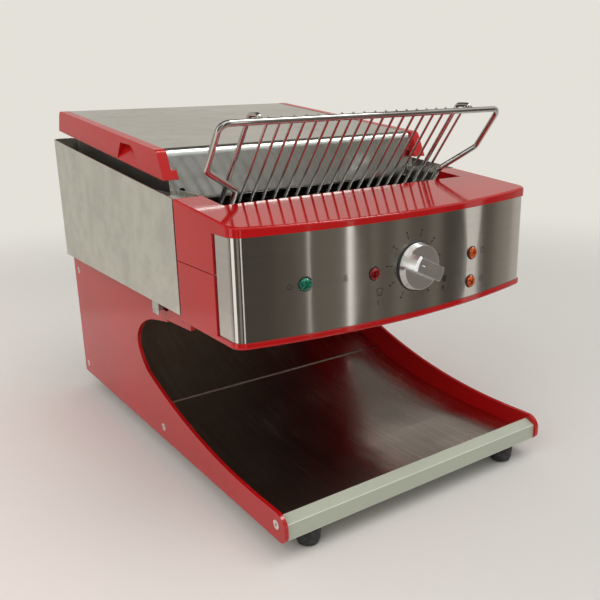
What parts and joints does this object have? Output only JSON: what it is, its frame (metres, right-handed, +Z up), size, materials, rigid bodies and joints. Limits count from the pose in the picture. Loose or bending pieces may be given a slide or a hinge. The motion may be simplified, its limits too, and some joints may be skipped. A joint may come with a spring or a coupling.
{
  "type": "conveyor toaster",
  "caption": "Countertop conveyor toaster with a wire bread rack, a sloping belt between heating tubes, a curved toast chute, a bowed control panel and a lidded steel casing.",
  "frame": {"origin": "middle of the footprint, on the surface that the feet stand on", "axes": "+X to the right as seen from the front, +Y to the rear, +Z up; the control panel faces -Y"},
  "size_m": [0.369, 0.536, 0.3916],
  "materials": {
    "body_paint": "gloss dark red paint",
    "trim_red": "gloss dark red moulding",
    "brushed_skin": "brushed",
    "chute_steel": "polished",
    "rack_chrome": "polished",
    "bar_paint": "satin pale grey",
    "inner_sheet": "mill finish",
    "reflector_sheet": "bright, heat tinted",
    "foot_rubber": "matte",
    "black_plastic": "fine grain",
    "terminal_plastic": "matte",
    "knob_metal": "satin turned",
    "green_lens": "faceted",
    "red_lens": "faceted",
    "amber_lens": "faceted",
    "bright_steel": "turned",
    "chain_steel": "oiled",
    "belt_wire": "heat tinted wire",
    "heating_tube": "oxidised",
    "bush_brass": "machined",
    "board_green": "coated board",
    "motor_steel": "satin"
  },
  "bodies": {
    "toaster": {"base_pan": "inner_sheet", "bread_switch": "black_plastic", "bun_switch": "black_plastic", "cable_gland": "black_plastic", "chassis_floor": "inner_sheet", "chassis_left": "inner_sheet", "chassis_right": "inner_sheet", "control_board": "board_green", "conveyor_belt": "belt_wire", "drive_chain": "chain_steel", "element_hangers": "inner_sheet", "fan_frame": "black_plastic", "fascia_panel": "brushed_skin", "feed_plate": "inner_sheet", "feet": "foot_rubber", "front_bar": "bar_paint", "front_hood": "body_paint", "gear_motor": "motor_steel", "lid_panel": "brushed_skin", "lid_trim_left": "trim_red", "lid_trim_right": "trim_red", "lock_lamp": "red_lens", "lock_lamp_holder": "black_plastic", "lower_elements": "heating_tube", "lower_reflector": "reflector_sheet", "lower_surround": "body_paint", "motor_bracket": "inner_sheet", "outer_shell": "brushed_skin", "power_switch": "black_plastic", "rear_deflector": "chute_steel", "rear_lower_cover": "inner_sheet", "rear_wall": "inner_sheet", "shaft_bushes": "bush_brass", "shell_brackets": "inner_sheet", "side_ledges": "inner_sheet", "side_panel_left": "body_paint", "side_panel_right": "body_paint", "side_screws": "bright_steel", "speed_control": "black_plastic", "terminal_block": "terminal_plastic", "toast_chute": "chute_steel", "upper_elements": "heating_tube", "upper_reflector": "reflector_sheet"},
    "conveyor_drive": {"drive_shaft": "bright_steel", "drive_sprockets": "bright_steel", "chain_sprocket": "bright_steel"},
    "idler": {"idler_shaft": "bright_steel", "idler_sprockets": "bright_steel"},
    "motor_output": {"motor_shaft": "bright_steel", "motor_sprocket": "bright_steel"},
    "fan_rotor": {"fan_rotor": "black_plastic"},
    "speed_knob": {"speed_knob": "knob_metal", "knob_shaft": "bright_steel"},
    "power_button": {"power_button": "green_lens"},
    "bread_button": {"bread_button": "amber_lens"},
    "bun_button": {"bun_button": "amber_lens"},
    "bread_rack": {"rack_frame": "rack_chrome", "rack_wires": "rack_chrome", "guide_rod_left": "rack_chrome", "guide_rod_right": "rack_chrome"}
  },
  "joints": [
    {"name": "conveyor_spin", "type": "hinge", "parent": "toaster", "child": "conveyor_drive", "pos_m": [0, -0.07, 0.246], "axis": [-1, 0, 0], "continuous": true, "deforming": ["conveyor_belt", "drive_chain"]},
    {"name": "idler_spin", "type": "hinge", "parent": "toaster", "child": "idler", "pos_m": [0, 0.18342, 0.27438], "axis": [-1, 0, 0], "continuous": true, "deforming": ["conveyor_belt"]},
    {"name": "motor_spin", "type": "hinge", "parent": "toaster", "child": "motor_output", "pos_m": [0.15, -0.13989, 0.23203], "axis": [-1, 0, 0], "continuous": true, "deforming": ["drive_chain"]},
    {"name": "fan_spin", "type": "hinge", "parent": "toaster", "child": "fan_rotor", "pos_m": [0.062, 0.252, 0.118], "axis": [0, 1, 0], "continuous": true},
    {"name": "speed_knob_turn", "type": "hinge", "parent": "toaster", "child": "speed_knob", "pos_m": [0.00299, -0.24299, 0.2447], "axis": [0.0041, -1, 0], "range_deg": [-14, 225]},
    {"name": "power_button_push", "type": "slide", "parent": "toaster", "child": "power_button", "axis": [0.1615, 0.9869, 0], "range_m": [0, 0.0025], "stiffness_N_per_m": 400, "springref_m": -0.001},
    {"name": "bread_button_push", "type": "slide", "parent": "toaster", "child": "bread_button", "axis": [-0.1132, 0.9936, 0], "range_m": [0, 0.0025], "stiffness_N_per_m": 400, "springref_m": -0.001},
    {"name": "bun_button_push", "type": "slide", "parent": "toaster", "child": "bun_button", "axis": [-0.1115, 0.9938, 0], "range_m": [0, 0.0025], "stiffness_N_per_m": 400, "springref_m": -0.001},
    {"name": "bread_rack_lift", "type": "slide", "parent": "toaster", "child": "bread_rack", "axis": [0, -0.6, 0.8], "range_m": [0, 0.06]}
  ],
  "couplings": [
    {"joint": "idler_spin", "follows": "conveyor_spin", "ratio": 1},
    {"joint": "motor_spin", "follows": "conveyor_spin", "ratio": 2}
  ]
}
